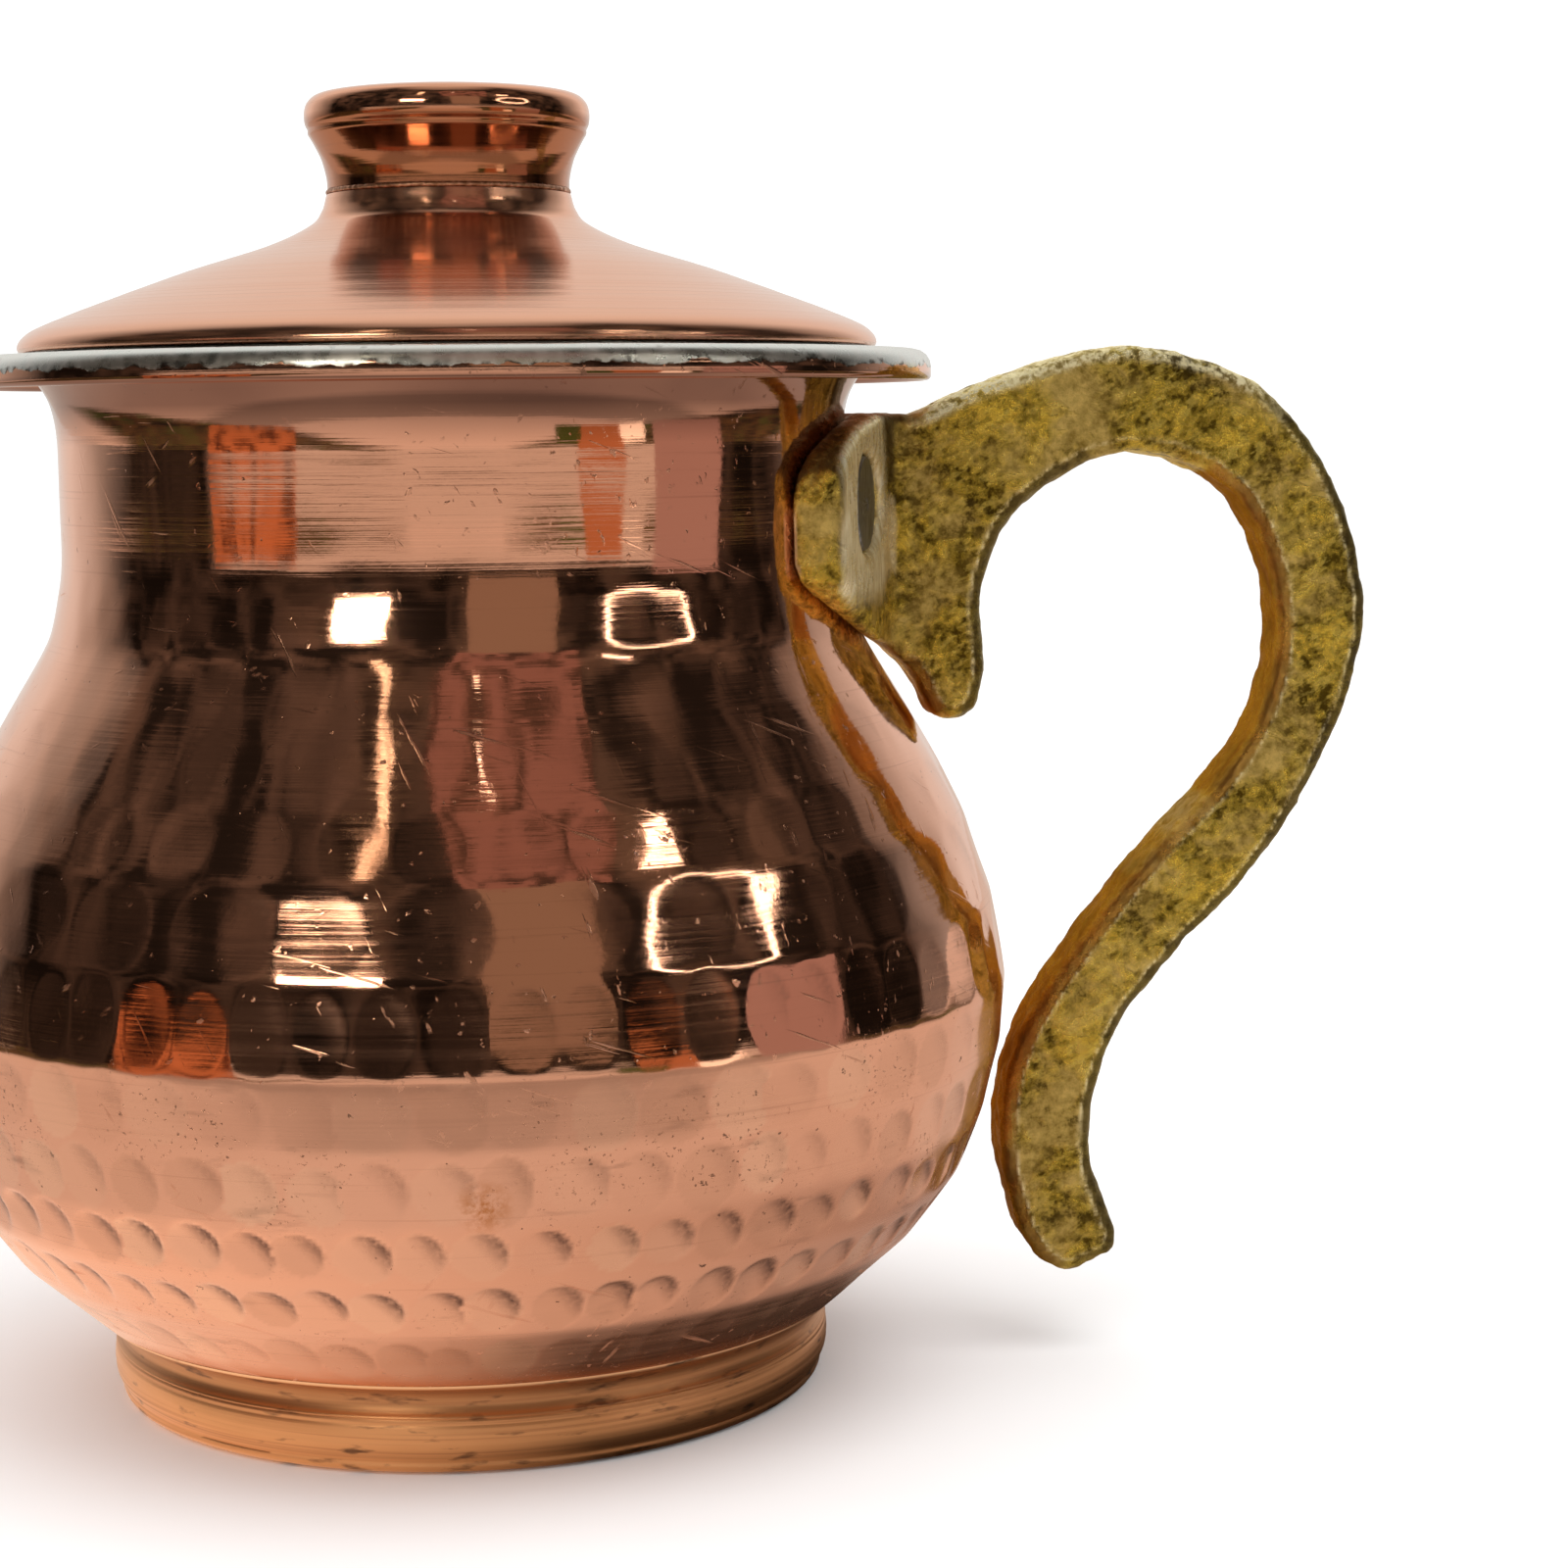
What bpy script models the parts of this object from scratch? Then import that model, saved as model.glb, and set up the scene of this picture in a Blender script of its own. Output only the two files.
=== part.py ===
"""Lidded copper water pot with a cast brass handle.

Metres, +Z up. The origin is under the middle of the foot, and the handle points along +X.
The lid lifts off along +Z. Run with: blender --background --python part.py
"""

import math

import bmesh
import bpy
from mathutils import Matrix, Vector

MM = 0.001
GAP = 0.3 * MM            # left between pieces that touch
SHEET = 1.1 * MM          # copper sheet of pot, foot and lid
ROUND_STEPS = 48          # facets round the pot and the lid
KNOB_STEPS = 32           # facets round the knob

# Driving dimensions of the pot
BELLY_RADIUS = 65.0 * MM
BELLY_HEIGHT = 46.9 * MM
NECK_RADIUS = 46.0 * MM
RIM_RADIUS = 56.5 * MM
RIM_HEIGHT = 122.3 * MM
LIP_DROP = 2.2 * MM
FOOT_RADIUS = 43.8 * MM
FOOT_HEIGHT = 10.2 * MM
FLAT_RADIUS = 37.8 * MM

# Lid and knob
LID_RADIUS = 50.3 * MM
LID_BAND = 1.1 * MM
WAIST_RADIUS = 14.1 * MM
WAIST_HEIGHT = 141.0 * MM
KNOB_RADIUS = 16.6 * MM
KNOB_HEIGHT = 152.8 * MM
COLLAR_RADIUS = 44.2 * MM
COLLAR_DEPTH = 7.5 * MM

# Handle
HANDLE_THICKNESS = 11.0 * MM
HANDLE_CHAMFER = 1.8 * MM
PAD_HALF_WIDTH = 28.0 * MM
PAD_EDGE_X = 43.2 * MM
PAD_ROOT_X = 51.2 * MM
RIVET_ANGLE = math.radians(18.0)
RIVET_HEIGHT = 104.5 * MM
RIVET_RADIUS = 2.5 * MM
RIVET_HEAD_RADIUS = 5.5 * MM
RIVET_FACE = 49.8 * MM    # from the pot's axis to the ground-flush outer end


# ---------------------------------------------------------------- helpers

def clear_scene():
    for obj in list(bpy.data.objects):
        bpy.data.objects.remove(obj)


def metal(name, color, roughness):
    material = bpy.data.materials.new(name)
    material.use_nodes = True
    shader = material.node_tree.nodes["Principled BSDF"]
    shader.inputs["Base Color"].default_value = (*color, 1.0)
    shader.inputs["Metallic"].default_value = 1.0
    shader.inputs["Roughness"].default_value = roughness
    return material


def smooth_curve(points, steps):
    """Catmull-Rom curve through the points, with this many steps in each span."""
    points = [Vector(point) for point in points]
    before = points[0] * 2 - points[1]
    after = points[-1] * 2 - points[-2]
    chain = [before, *points, after]
    curve = []
    for a, b, c, d in zip(chain, chain[1:], chain[2:], chain[3:]):
        for step in range(steps):
            t = step / steps
            curve.append(
                0.5 * (2 * b + (c - a) * t + (2 * a - 5 * b + 4 * c - d) * t**2
                       + (3 * b - a - 3 * c + d) * t**3)
            )
    return [*curve, points[-1]]


def arc(center, radius, start, end, steps):
    """Points on an arc, with its angles in degrees counted from the first axis."""
    angles = [math.radians(start + (end - start) * step / steps) for step in range(steps + 1)]
    return [Vector((center[0] + radius * math.cos(a), center[1] + radius * math.sin(a)))
            for a in angles]


def millimetres(*points):
    return [Vector(point) * MM for point in points]


def offset_path(path, distance):
    """The path moved to its left by distance, with mitred corners."""
    moved = []
    for index, point in enumerate(path):
        before = path[max(index - 1, 0)]
        after = path[min(index + 1, len(path) - 1)]
        sides = [(b - a).normalized() for a, b in ((before, point), (point, after)) if b != a]
        along = sum(sides, Vector((0, 0))).normalized()
        left = Vector((-along.y, along.x))
        first = Vector((-sides[0].y, sides[0].x))
        moved.append(point + left * distance / max(left.dot(first), 0.5))
    return moved


def sheet_outline(path, thickness):
    """Closed outline of a sheet whose outer side is the path and whose thickness is to its left."""
    return [*path, *reversed(offset_path(path, thickness))]


def add_object(name, mesh_data, material):
    mesh = bpy.data.meshes.new(name)
    mesh_data.to_mesh(mesh)
    mesh_data.free()
    mesh.shade_smooth()
    mesh.set_sharp_from_angle(angle=math.radians(35))
    obj = bpy.data.objects.new(name, mesh)
    bpy.context.scene.collection.objects.link(obj)
    if material:
        obj.data.materials.append(material)
    return obj


def turned(name, outline, material, closed=True, steps=ROUND_STEPS):
    """A solid of revolution from (radius, height) points; an open outline starts and ends on the axis."""
    bm = bmesh.new()
    verts = [bm.verts.new((radius, 0, height)) for radius, height in outline]
    pairs = list(zip(verts, verts[1:])) + ([(verts[-1], verts[0])] if closed else [])
    edges = [bm.edges.new(pair) for pair in pairs]
    bmesh.ops.spin(bm, geom=verts + edges, cent=(0, 0, 0), axis=(0, 0, 1),
                   angle=math.tau, steps=steps, use_merge=True)
    bmesh.ops.remove_doubles(bm, verts=bm.verts, dist=0.001 * MM)
    bmesh.ops.recalc_face_normals(bm, faces=bm.faces)
    return add_object(name, bm, material)


def prism(name, outline, low, high, material=None, axis="Y"):
    """A closed outline drawn across the axis and extruded along it from low to high."""
    bm = bmesh.new()
    place = {
        "X": lambda u, v, w: (w, u, v),
        "Y": lambda u, v, w: (u, w, v),
        "Z": lambda u, v, w: (u, v, w),
    }[axis]
    face = bm.faces.new([bm.verts.new(place(u, v, low)) for u, v in outline])
    side = bmesh.ops.extrude_face_region(bm, geom=[face])
    moved = [item for item in side["geom"] if isinstance(item, bmesh.types.BMVert)]
    bmesh.ops.translate(bm, verts=moved, vec=place(0, 0, high - low))
    bmesh.ops.recalc_face_normals(bm, faces=bm.faces)
    return add_object(name, bm, material)


def combine(obj, other, operation):
    """A Boolean that leaves its second object as a hidden helper."""
    modifier = obj.modifiers.new(f"{operation.lower()}_{other.name}", "BOOLEAN")
    modifier.object = other
    modifier.operation = operation
    other.hide_render = True
    other.display_type = "WIRE"


# ---------------------------------------------------------------- pot

def belly_path():
    """Outer side of the body from the foot's shelf up to the top of the neck."""
    return smooth_curve(
        [
            (45.6 * MM, 10.9 * MM),
            (53.8 * MM, 18.2 * MM),
            (61.0 * MM, 28.8 * MM),
            (BELLY_RADIUS, BELLY_HEIGHT),
            (61.6 * MM, 63.8 * MM),
            (55.0 * MM, 77.6 * MM),
            (48.2 * MM, 88.4 * MM),
            (NECK_RADIUS, 98.0 * MM),
            (NECK_RADIUS, 110.0 * MM),
        ],
        2,
    )


def rim_path():
    """Underside of the rim, from the neck's flare out to the lip's lower edge."""
    under = RIM_HEIGHT - SHEET
    flare = 4.4 * MM
    lip = 0.9 * MM
    outer = RIM_RADIUS - SHEET
    return [
        *arc((NECK_RADIUS + flare, under - flare), flare, 180, 90, 4),
        *arc((outer - lip, under - lip), lip, 90, 0, 2),
        Vector((outer, RIM_HEIGHT - LIP_DROP)),
    ]


def collar_path():
    """The body's lower end: a shelf on the foot's edge, then a collar down inside the foot."""
    return millimetres((41.3, 5.6), (41.3, 9.6), (42.2, 10.5), (44.2, 10.5))


def make_pot_body(copper):
    path = collar_path() + belly_path() + rim_path()
    return turned("pot_body", sheet_outline(path, SHEET), copper)


def make_foot(copper):
    groove = 42.9 * MM
    outside = [
        Vector((0, 0)),
        Vector((FLAT_RADIUS, 0)),
        *millimetres((42.4, 3.1), (43.0, 4.2)),
        Vector((groove, 7.4 * MM)),
        Vector((FOOT_RADIUS, 9.5 * MM)),
        Vector((FOOT_RADIUS, FOOT_HEIGHT)),
    ]
    inside = [
        Vector((FOOT_RADIUS - SHEET, FOOT_HEIGHT)),
        Vector((groove - SHEET, 7.4 * MM)),
        *millimetres((41.8, 4.6), (41.4, 3.8)),
        Vector((FLAT_RADIUS - 0.4 * MM, SHEET)),
        Vector((0, SHEET)),
    ]
    return turned("foot_base", outside + inside, copper, closed=False)


def make_foot_solder(solder):
    outline = millimetres((40.9, 4.3), (40.9, 5.2), (39.9, 5.2), (38.6, 2.9))
    return turned("foot_solder", outline, solder)


# ---------------------------------------------------------------- lid

def make_lid_shell(copper):
    seat = RIM_HEIGHT + GAP
    cone = smooth_curve(
        millimetres((49.7, 124.5), (47.4, 125.5), (41.2, 128.3), (31.0, 131.9), (21.5, 134.9),
                    (16.2, 137.4)),
        2,
    )
    path = [
        Vector((LID_RADIUS, seat)),
        Vector((LID_RADIUS, seat + LID_BAND)),
        *cone,
        *millimetres((14.7, 139.2)),
        Vector((WAIST_RADIUS, WAIST_HEIGHT - 0.5 * MM)),
    ]
    return turned("lid_shell", sheet_outline(path, SHEET), copper)


def make_lid_collar(tin):
    top = 125.2 * MM
    outline = [
        Vector((COLLAR_RADIUS, RIM_HEIGHT - COLLAR_DEPTH)),
        Vector((COLLAR_RADIUS, top)),
        Vector((COLLAR_RADIUS - SHEET, top + 0.4 * MM)),
        Vector((COLLAR_RADIUS - SHEET, RIM_HEIGHT - COLLAR_DEPTH)),
    ]
    return turned("lid_collar", outline, tin)


def make_knob_solder(solder):
    outer = WAIST_RADIUS + 0.1 * MM
    inner = WAIST_RADIUS - SHEET
    low = WAIST_HEIGHT - 0.2 * MM
    high = WAIST_HEIGHT + 0.5 * MM
    outline = [Vector(corner) for corner in ((outer, low), (outer, high), (inner, high), (inner, low))]
    return turned("knob_solder", outline, solder, steps=KNOB_STEPS)


def make_lid_knob(copper):
    flare = smooth_curve(
        [
            Vector((WAIST_RADIUS, WAIST_HEIGHT + 0.8 * MM)),
            Vector((14.5 * MM, 144.0 * MM)),
            Vector((15.6 * MM, 146.6 * MM)),
            Vector((KNOB_RADIUS - 0.1 * MM, 148.5 * MM)),
        ],
        2,
    )
    top = [
        Vector((KNOB_RADIUS, 149.8 * MM)),
        Vector((KNOB_RADIUS - 0.4 * MM, 151.1 * MM)),
        Vector((KNOB_RADIUS - 1.6 * MM, 152.2 * MM)),
        Vector((KNOB_RADIUS - 3.4 * MM, KNOB_HEIGHT - 0.2 * MM)),
        Vector((0, KNOB_HEIGHT)),
    ]
    outside = flare + top
    inside = offset_path(outside, SHEET)
    inside[-1] = Vector((0, KNOB_HEIGHT - SHEET))
    outline = [*reversed(outside), *inside]
    return turned("lid_knob", outline, copper, closed=False, steps=KNOB_STEPS)


# ---------------------------------------------------------------- handle

def handle_outline():
    """Side view of the casting as (x, z): pad top, loop, curled tail, back up the loop, spur, pad foot."""
    outer_edge = smooth_curve(
        millimetres((54.0, 114.4), (64.4, 118.8), (80.5, 122.6), (96.6, 117.7), (106.8, 103.5),
                    (109.3, 86.0), (99.4, 63.4), (80.3, 41.9), (75.6, 26.0), (79.2, 14.2)),
        3,
    )
    tail_end = millimetres((78.4, 11.7), (72.6, 9.3), (69.6, 10.9))
    inner_edge = smooth_curve(
        millimetres((67.0, 14.8), (64.6, 26.0), (67.5, 40.0), (80.4, 58.2), (94.2, 73.5),
                    (98.9, 89.0), (93.8, 104.4), (80.5, 110.1), (67.4, 103.8), (62.6, 94.0),
                    (63.0, 84.0)),
        3,
    )
    spur_end = millimetres((61.6, 79.4), (58.6, 77.6), (56.2, 79.0))
    spur_back = millimetres((54.4, 83.0), (50.6, 88.0))
    pad_back = millimetres((38.0, 93.6), (38.0, 108.0), (46.5, 115.0))
    return outer_edge + tail_end + inner_edge + spur_end + spur_back + pad_back


def pad_plan():
    """Plan view of the saddle pad as (x, y): a block that narrows outwards into the bar."""
    half_bar = HANDLE_THICKNESS / 2 - 0.5 * MM
    front = [
        Vector((32.0 * MM, -PAD_HALF_WIDTH)),
        Vector((PAD_EDGE_X - 0.8 * MM, -PAD_HALF_WIDTH)),
        Vector((PAD_EDGE_X + 0.2 * MM, -PAD_HALF_WIDTH + 0.9 * MM)),
        Vector((PAD_ROOT_X, -half_bar - 1.2 * MM)),
        Vector((PAD_ROOT_X + 2.4 * MM, -half_bar)),
    ]
    return front + [Vector((x, -y)) for x, y in reversed(front)]


def pad_side():
    """Side view of the saddle pad as (x, z): rounded off at the top, sloping at the bottom."""
    crown = arc((47.0 * MM, 105.1 * MM), 9.9 * MM, 175, 90, 5)
    return [
        Vector((32.0 * MM, 105.5 * MM)),
        *crown,
        *millimetres((53.8, 114.6), (53.8, 84.0), (50.6, 87.2), (37.0, 94.4), (32.0, 94.4)),
    ]


def pad_end():
    """End view of the saddle pad as (y, z): shoulders rounded off, and a foot narrowing to the spur."""
    right = [
        Vector((PAD_HALF_WIDTH + MM, 106.5 * MM)),
        *millimetres((25.5, 110.8), (19.0, 113.6), (8.0, 115.4)),
    ]
    foot = millimetres((-6.0, 84.0), (6.0, 84.0), (24.0, 93.4))
    last = Vector((PAD_HALF_WIDTH + MM, 96.5 * MM))
    mirrored = [Vector((-y, z)) for y, z in [*reversed(right), last, foot[-1]]]
    return [*right, *mirrored, *foot, last]


def neck_cutter():
    """Fills the pot up to just outside its neck and shoulder, so that the pad's back follows them."""
    wall = [point + Vector((GAP, 0)) for point in belly_path() if point.y > 60 * MM]
    outline = [Vector((0, wall[0].y)), *wall, Vector((wall[-1].x, 130 * MM)), Vector((0, 130 * MM))]
    return turned("neck_cutter", outline, None, closed=False)


def rivet_place(side):
    """World matrix whose +X runs out of the pot along the rivet on the given side (-1 or 1)."""
    turn = Matrix.Rotation(side * RIVET_ANGLE, 4, "Z")
    return turn @ Matrix.Translation((0, 0, RIVET_HEIGHT))


def radial_solid(name, outline, side, material=None, steps=20):
    """A solid turned about the rivet's own axis from (distance from the pot's axis, radius) points."""
    obj = turned(name, [Vector((radius, along)) for along, radius in outline], material,
                 closed=False, steps=steps)
    obj.data.transform(rivet_place(side) @ Matrix.Rotation(math.pi / 2, 4, "Y"))
    return obj


def rivet_outline(grow):
    """Dome inside the neck, shank, and the head let into the pad; grow widens it for its hole."""
    return [
        (43.0 * MM - grow, 0),
        (43.4 * MM - grow, 2.4 * MM + grow),
        (44.4 * MM + grow, 4.0 * MM + grow),
        (44.4 * MM + grow, RIVET_RADIUS + grow),
        (48.0 * MM - grow, RIVET_RADIUS + grow),
        (48.0 * MM - grow, RIVET_HEAD_RADIUS + grow),
        (RIVET_FACE + 5 * grow, RIVET_HEAD_RADIUS + grow),
        (RIVET_FACE + 5 * grow, 0),
    ]


def shank_outline():
    radius = RIVET_RADIUS + GAP
    return [(40.0 * MM, 0), (40.0 * MM, radius), (52.0 * MM, radius), (52.0 * MM, 0)]


def make_handle(brass):
    handle = prism("handle", handle_outline(), -HANDLE_THICKNESS / 2, HANDLE_THICKNESS / 2, brass)
    chamfer = handle.modifiers.new("cast_edges", "BEVEL")
    chamfer.width = HANDLE_CHAMFER
    chamfer.segments = 2
    chamfer.limit_method = "ANGLE"
    chamfer.angle_limit = math.radians(60)
    pad = prism("pad_block", pad_side(), -30 * MM, 30 * MM)
    plan = prism("pad_plan", pad_plan(), 80 * MM, 120 * MM, axis="Z")
    combine(pad, plan, "INTERSECT")
    combine(pad, prism("pad_end", pad_end(), 30 * MM, 56 * MM, axis="X"), "INTERSECT")
    combine(handle, pad, "UNION")
    combine(handle, neck_cutter(), "DIFFERENCE")
    for side, label in ((-1, "front"), (1, "back")):
        combine(handle, radial_solid(f"pad_hole_{label}", rivet_outline(GAP), side), "DIFFERENCE")
    return handle


def make_rivet(label, side, steel):
    return radial_solid(f"handle_rivet_{label}", rivet_outline(0), side, steel)


def main():
    clear_scene()
    copper = metal("polished_copper", (0.86, 0.42, 0.27), 0.12)
    foot_copper = metal("turned_copper", (0.72, 0.33, 0.18), 0.35)
    tin = metal("tinned_copper", (0.52, 0.53, 0.50), 0.35)
    solder = metal("soft_solder", (0.56, 0.50, 0.45), 0.5)
    brass = metal("cast_brass", (0.66, 0.50, 0.16), 0.42)
    steel = metal("rivet_steel", (0.35, 0.36, 0.35), 0.45)

    body = make_pot_body(copper)
    make_foot(foot_copper)
    make_foot_solder(solder)
    make_lid_shell(metal("lid_copper", (0.86, 0.44, 0.30), 0.15))
    make_lid_collar(tin)
    make_knob_solder(solder)
    make_lid_knob(metal("knob_copper", (0.84, 0.40, 0.25), 0.12))
    make_handle(brass)
    for side, label in ((-1, "front"), (1, "back")):
        make_rivet(label, side, steel)
        combine(body, radial_solid(f"neck_hole_{label}", shank_outline(), side), "DIFFERENCE")


main()
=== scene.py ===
"""Looks of the lidded copper water pot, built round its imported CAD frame.

The frame is in metres with +Z up, the foot on z = 0 and the handle along +X.
Outlines are drawn here in millimetres, as (distance from the pot's axis, height).
"""

import math

import bmesh
import bpy
import numpy as np
from mathutils import Matrix, Vector, noise


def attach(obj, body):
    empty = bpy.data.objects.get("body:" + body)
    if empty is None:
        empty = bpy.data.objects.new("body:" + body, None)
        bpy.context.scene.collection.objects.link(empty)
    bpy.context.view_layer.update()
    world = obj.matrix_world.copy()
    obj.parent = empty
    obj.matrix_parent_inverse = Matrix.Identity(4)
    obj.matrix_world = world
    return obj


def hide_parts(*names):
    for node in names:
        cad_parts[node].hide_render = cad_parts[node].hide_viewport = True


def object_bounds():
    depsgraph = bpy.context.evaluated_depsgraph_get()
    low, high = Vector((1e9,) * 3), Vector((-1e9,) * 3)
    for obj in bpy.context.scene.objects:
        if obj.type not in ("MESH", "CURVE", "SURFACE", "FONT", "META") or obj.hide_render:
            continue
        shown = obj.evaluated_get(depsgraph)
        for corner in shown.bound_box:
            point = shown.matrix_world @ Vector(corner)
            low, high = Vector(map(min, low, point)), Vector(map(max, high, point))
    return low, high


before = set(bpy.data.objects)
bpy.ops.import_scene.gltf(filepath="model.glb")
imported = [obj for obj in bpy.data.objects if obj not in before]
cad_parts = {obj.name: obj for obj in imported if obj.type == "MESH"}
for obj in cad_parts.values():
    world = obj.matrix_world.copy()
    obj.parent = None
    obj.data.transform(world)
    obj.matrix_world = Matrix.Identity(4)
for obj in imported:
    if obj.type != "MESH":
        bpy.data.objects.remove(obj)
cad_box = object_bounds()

MM = 0.001
TURN = 2 * math.pi
SEED = 20

# Sizes of the pot and the lid, millimetres
SHEET = 1.1              # copper sheet
NECK = 46.0              # outer radius of the neck
NECK_TOP = 110.0         # where the neck starts to flare out to the rim
RIM_TOP = 122.3
RIM_RADIUS = 56.5
LIP_RADIUS = 0.9
LIP_DROP = 3.1           # how far the turned-down lip hangs under the rim's top
TIN_EDGE = 120.2         # height on the lip's outer side down to which the tin reaches
LID_BOTTOM = 122.62
JOINT = (140.85, 141.5)  # bottom and top of the joint under the knob

# How many steps each turned piece has round the axis
POT_STEPS = 800
LID_STEPS = 480          # also the foot's
COLLAR_STEPS = 360
KNOB_STEPS = 240         # also the foot solder's
KNOB_SOLDER_STEPS = 300
RIVET_STEPS = 96


# ---------------------------------------------------------------- outlines

def smooth_curve(points, steps):
    """Catmull-Rom curve through the points, with this many steps in each span."""
    points = np.array(points, float)
    chain = np.vstack([2 * points[0] - points[1], points, 2 * points[-1] - points[-2]])
    t = (np.arange(steps) / steps)[:, None]
    spans = [
        0.5 * (2 * b + (c - a) * t + (2 * a - 5 * b + 4 * c - d) * t**2
               + (3 * b - a - 3 * c + d) * t**3)
        for a, b, c, d in zip(chain, chain[1:], chain[2:], chain[3:])
    ]
    return np.vstack([*spans, points[-1:]])


def arc(center, radius, start, end, steps=10):
    """Points on an arc, with its angles in degrees counted from the outward direction."""
    angles = np.radians(np.linspace(start, end, steps + 1))
    return np.column_stack([center[0] + radius * np.cos(angles), center[1] + radius * np.sin(angles)])


def joined(*paths):
    """The paths one after another, without the points that repeat the one before."""
    path = np.vstack([np.asarray(piece, float) for piece in paths])
    steps = np.linalg.norm(np.diff(path, axis=0), axis=1)
    return path[np.concatenate([[True], steps > 1e-3])]


def evenly(path, spacing):
    """The path with points about this far apart."""
    path = np.array(path, float)
    along = np.concatenate([[0], np.cumsum(np.linalg.norm(np.diff(path, axis=0), axis=1))])
    at = np.linspace(0, along[-1], max(2, round(along[-1] / spacing) + 1))
    return np.column_stack([np.interp(at, along, path[:, i]) for i in (0, 1)])


def left_of(path):
    """Unit vectors pointing to the left of the path at each of its points."""
    ahead = np.gradient(path, axis=0)
    ahead /= np.linalg.norm(ahead, axis=1)[:, None]
    return np.column_stack([-ahead[:, 1], ahead[:, 0]])


def softened(path, passes):
    """The path with its corners rounded off a little; its ends stay."""
    path = path.copy()
    for _ in range(passes):
        path[1:-1] = 0.25 * path[:-2] + 0.5 * path[1:-1] + 0.25 * path[2:]
    return path


# ---------------------------------------------------------------- meshes

MERGE_DISTANCE = 0.002 * MM
SHARP_ANGLE = math.radians(40)


def add_object(name, data):
    obj = bpy.data.objects.new(name, data)
    bpy.context.scene.collection.objects.link(obj)
    return obj


def mark_points(mesh, name, values):
    """Gives the mesh a named value at each of its points, which its material reads."""
    attribute = mesh.attributes.new(name, "FLOAT", "POINT")
    attribute.data.foreach_set("value", np.asarray(values, np.float32))


def add_mesh(name, points, faces, marks):
    """A smooth-shaded object from points in millimetres, with its named marks at each point."""
    mesh = bpy.data.meshes.new(name)
    mesh.from_pydata((points * MM).tolist(), [], faces)
    for mark, values in marks.items():
        mark_points(mesh, mark, values)
    bm = bmesh.new()
    bm.from_mesh(mesh)
    bmesh.ops.remove_doubles(bm, verts=bm.verts, dist=MERGE_DISTANCE)
    bmesh.ops.recalc_face_normals(bm, faces=bm.faces)
    bm.to_mesh(mesh)
    bm.free()
    mesh.shade_smooth()
    mesh.set_sharp_from_angle(angle=SHARP_ANGLE)
    return add_object(name, mesh)


def angles_round(steps):
    return np.arange(steps) * TURN / steps


def turned(name, outline, steps, relief=None, closed=True, marks=None):
    """The outline swept round Z.

    relief(angles, outline) gives how far each point moves outwards. marks are named values, for
    each point of the outline or for each of its points at each angle.
    """
    angles = angles_round(steps)
    radius = np.repeat(outline[:, :1], steps, 1)
    height = np.repeat(outline[:, 1:], steps, 1)
    if relief is not None:
        moved = relief(angles, outline)
        out = -left_of(outline)
        radius = radius + out[:, :1] * moved
        height = height + out[:, 1:] * moved
    points = np.stack([radius * np.cos(angles), radius * np.sin(angles), height], -1).reshape(-1, 3)
    rows = len(outline) if closed else len(outline) - 1
    i, j = np.meshgrid(np.arange(rows), np.arange(steps), indexing="ij")
    below, above, right = i * steps, (i + 1) % len(outline) * steps, (j + 1) % steps
    faces = np.stack([below + j, below + right, above + right, above + j], -1).reshape(-1, 4)
    spread = {
        mark: np.broadcast_to(values.reshape(len(outline), -1), radius.shape).ravel()
        for mark, values in (marks or {}).items()
    }
    return add_mesh(name, points, faces.tolist(), spread)


def point_vectors(obj, name):
    """Each point's "co" or "normal", as rows of three."""
    values = np.empty(len(obj.data.vertices) * 3, np.float32)
    obj.data.vertices.foreach_get(name, values)
    return values.reshape(-1, 3)


def coordinates(obj):
    """The object's points in millimetres."""
    return point_vectors(obj, "co").astype(float) / MM


def finish_piece(obj, body, node, material):
    """Gives a piece its material and ties it to the CAD node that it stands for."""
    obj.data.materials.append(material)
    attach(obj, body)
    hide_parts(node)


# ---------------------------------------------------------------- relief

def ripple(angles, heights, amplitude, seed, waves=14, longest=9, tallest=0.25):
    """Slow random unevenness of beaten sheet: a sum of waves round and up the pot."""
    rng = np.random.default_rng(seed)
    total = np.zeros((len(heights), len(angles)))
    for _ in range(waves):
        round_count = rng.integers(2, 2 + longest * 3)
        climb = rng.uniform(-tallest, tallest)
        phase = rng.uniform(0, TURN)
        total += np.cos(round_count * angles[None, :] + climb * heights[:, None] + phase)
    return amplitude * total / math.sqrt(waves)


def turning_rings(heights, amplitude, seed):
    """Shallow rings left by the lathe, as one offset for each height."""
    rng = np.random.default_rng(seed)
    rough = rng.normal(size=len(heights))
    smooth = np.convolve(rough, [0.25, 0.5, 0.25], "same")
    return amplitude * smooth


# Rows of hammer marks from the foot up: height, spacing round the pot, half height, depth, lean
HAMMER_ROWS = (
    (15.0, 5.8, 2.8, 0.11, 0.3),
    (22.3, 6.0, 2.7, 0.36, 1.0),
    (29.3, 6.4, 2.8, 0.36, 1.0),
    (36.3, 6.9, 3.7, 0.12, 0.9),
    (44.4, 7.6, 3.9, 0.06, 0.3),
    (53.0, 6.7, 4.9, 0.11, 0.2),
    (63.0, 12.6, 4.8, 0.10, 0.2),
    (71.4, 9.5, 3.4, 0.05, 0.2),
    (79.0, 11.0, 4.0, 0.04, 0.2),
)
SCOOP_WIDTH = 0.47       # half width of a mark, as a share of the spacing


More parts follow.
